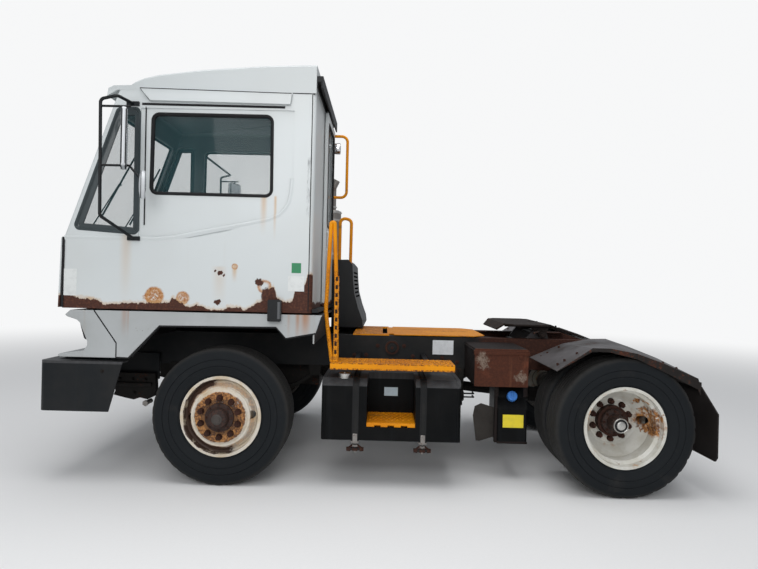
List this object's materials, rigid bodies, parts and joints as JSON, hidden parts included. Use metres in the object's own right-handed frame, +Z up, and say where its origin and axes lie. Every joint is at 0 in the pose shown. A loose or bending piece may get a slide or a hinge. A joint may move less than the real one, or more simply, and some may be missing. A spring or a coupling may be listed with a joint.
{
  "type": "terminal tractor",
  "caption": "Terminal tractor with an offset white cab, black hood, yellow deck, twin rear wheels and a lifting fifth wheel.",
  "frame": {"origin": "on the ground under the middle of the whole machine", "axes": "+X forward, +Y to the driver's left, +Z up"},
  "size_m": [4.915, 2.965, 3.0899],
  "materials": {
    "white_paint": "satin",
    "grey_paint": "satin",
    "black_paint": "satin",
    "yellow_paint": "worn",
    "rusty_box": "matte",
    "rim_paint": "worn",
    "cast_iron": "rough",
    "steel": "dull",
    "chrome_rod": "polished",
    "black_plastic": "matte",
    "lamp_lens": "gloss",
    "seat_fabric": "matte",
    "glass": "clear",
    "rubber": "matte",
    "tyre": "matte"
  },
  "bodies": {
    "chassis": {"frame_rails": "black_paint", "crossmembers": "black_paint", "front_bumper": "black_paint", "front_fascia": "grey_paint", "grilles": "black_plastic", "headlamps": "lamp_lens", "wheel_skirts": "grey_paint", "power_unit": "cast_iron", "engine_hood": "black_plastic", "exhaust_stack": "steel", "deck_and_steps": "yellow_paint", "fuel_tank": "black_paint", "tank_straps": "steel", "battery_box": "rusty_box", "fluid_tank": "black_plastic", "side_tanks": "black_paint", "rear_fenders": "black_paint", "mudflaps": "rubber", "tail_lamps": "black_paint", "handrails": "yellow_paint", "front_axle": "cast_iron", "leaf_springs": "steel", "rear_axle": "cast_iron", "drive_shaft": "steel"},
    "cab": {"cab_side_left": "white_paint", "cab_side_right": "white_paint", "cab_front": "white_paint", "cab_rear": "white_paint", "cab_floor": "black_paint", "cab_roof": "white_paint", "cab_glass": "glass", "door_track": "black_paint", "cab_lamps": "black_plastic", "cab_brackets": "black_paint", "grab_handle": "yellow_paint", "seat_base": "black_paint", "seat_pads": "seat_fabric", "steering_wheel": "black_plastic", "dashboard": "black_plastic"},
    "sliding_door": {"rear_door": "white_paint", "door_glass": "glass"},
    "knuckle_left": {"knuckle_left": "cast_iron"},
    "knuckle_right": {"knuckle_right": "cast_iron"},
    "tie_rod": {"tie_rod": "steel"},
    "wheel_front_left": {"front_tyre_left": "tyre", "front_rim_left": "rim_paint"},
    "wheel_front_right": {"front_tyre_right": "tyre", "front_rim_right": "rim_paint"},
    "wheels_rear_left": {"rear_tyres_left": "tyre", "rear_rims_left": "rim_paint"},
    "wheels_rear_right": {"rear_tyres_right": "tyre", "rear_rims_right": "rim_paint"},
    "boom": {"boom": "black_paint", "boom_deck": "yellow_paint"},
    "fifth_wheel": {"fifth_wheel": "rusty_box", "coupling_ears": "rusty_box"},
    "lift_barrels": {"lift_barrels": "black_paint"},
    "lift_rods": {"lift_rods": "chrome_rod"},
    "tilt_barrel": {"tilt_barrel": "black_paint"},
    "tilt_rod": {"tilt_rod": "chrome_rod"}
  },
  "joints": [
    {"name": "cab_tilt", "type": "hinge", "parent": "chassis", "child": "cab", "pos_m": [2.2275, 0.6, 1.22], "axis": [0, 1, 0], "range_deg": [0, 45]},
    {"name": "tilt_ram_swing", "type": "hinge", "parent": "chassis", "child": "tilt_barrel", "pos_m": [1.7975, 0.285, 0.862], "axis": [0, 1, 0], "range_deg": [-0.62, 0.5]},
    {"name": "tilt_ram_stroke", "type": "slide", "parent": "tilt_barrel", "child": "tilt_rod", "axis": [0.4677, 0, 0.8839], "range_m": [-0.002, 0.1787]},
    {"name": "door_slide", "type": "slide", "parent": "cab", "child": "sliding_door", "axis": [0, 1, 0], "range_m": [0, 0.5]},
    {"name": "steer_left", "type": "hinge", "parent": "chassis", "child": "knuckle_left", "pos_m": [1.1435, 0.87, 0.507], "axis": [0, 0, 1], "range_deg": [-40, 40]},
    {"name": "steer_right", "type": "hinge", "parent": "chassis", "child": "knuckle_right", "pos_m": [1.1435, -0.87, 0.507], "axis": [0, 0, 1], "range_deg": [-40, 40]},
    {"name": "tie_rod_end", "type": "hinge", "parent": "knuckle_left", "child": "tie_rod", "pos_m": [0.9635, 0.87, 0.383], "axis": [0, 0, 1], "range_deg": [-40, 40]},
    {"name": "spin_front_left", "type": "hinge", "parent": "knuckle_left", "child": "wheel_front_left", "pos_m": [1.1435, 1.0325, 0.507], "axis": [0, 1, 0], "continuous": true},
    {"name": "spin_front_right", "type": "hinge", "parent": "knuckle_right", "child": "wheel_front_right", "pos_m": [1.1435, -1.0325, 0.507], "axis": [0, 1, 0], "continuous": true},
    {"name": "spin_rear_left", "type": "hinge", "parent": "chassis", "child": "wheels_rear_left", "pos_m": [-1.8025, 0.9165, 0.507], "axis": [0, 1, 0], "continuous": true},
    {"name": "spin_rear_right", "type": "hinge", "parent": "chassis", "child": "wheels_rear_right", "pos_m": [-1.8025, -0.9165, 0.507], "axis": [0, 1, 0], "continuous": true},
    {"name": "boom_lift", "type": "hinge", "parent": "chassis", "child": "boom", "pos_m": [-0.1185, 0, 0.964], "axis": [0, 1, 0], "range_deg": [0, 17.5]},
    {"name": "fifth_wheel_rock", "type": "hinge", "parent": "boom", "child": "fifth_wheel", "pos_m": [-1.4225, 0, 1.1], "axis": [0, 1, 0], "range_deg": [-12, 12]},
    {"name": "lift_ram_swing", "type": "hinge", "parent": "chassis", "child": "lift_barrels", "pos_m": [-0.6525, 0, 0.64], "axis": [0, 1, 0], "range_deg": [-0.5, 22.49]},
    {"name": "lift_ram_stroke", "type": "slide", "parent": "lift_barrels", "child": "lift_rods", "axis": [-0.8545, 0, 0.5194], "range_m": [-0.002, 0.1844]}
  ],
  "couplings": [
    {"joint": "tilt_ram_swing", "follows": "cab_tilt", "ratio": -0.00269},
    {"joint": "tilt_ram_stroke", "follows": "cab_tilt", "m_per_rad": 0.22498},
    {"joint": "lift_ram_swing", "follows": "boom_lift", "ratio": 1.2564},
    {"joint": "lift_ram_stroke", "follows": "boom_lift", "m_per_rad": 0.59712},
    {"joint": "steer_right", "follows": "steer_left", "ratio": 1},
    {"joint": "tie_rod_end", "follows": "steer_left", "ratio": -1}
  ]
}
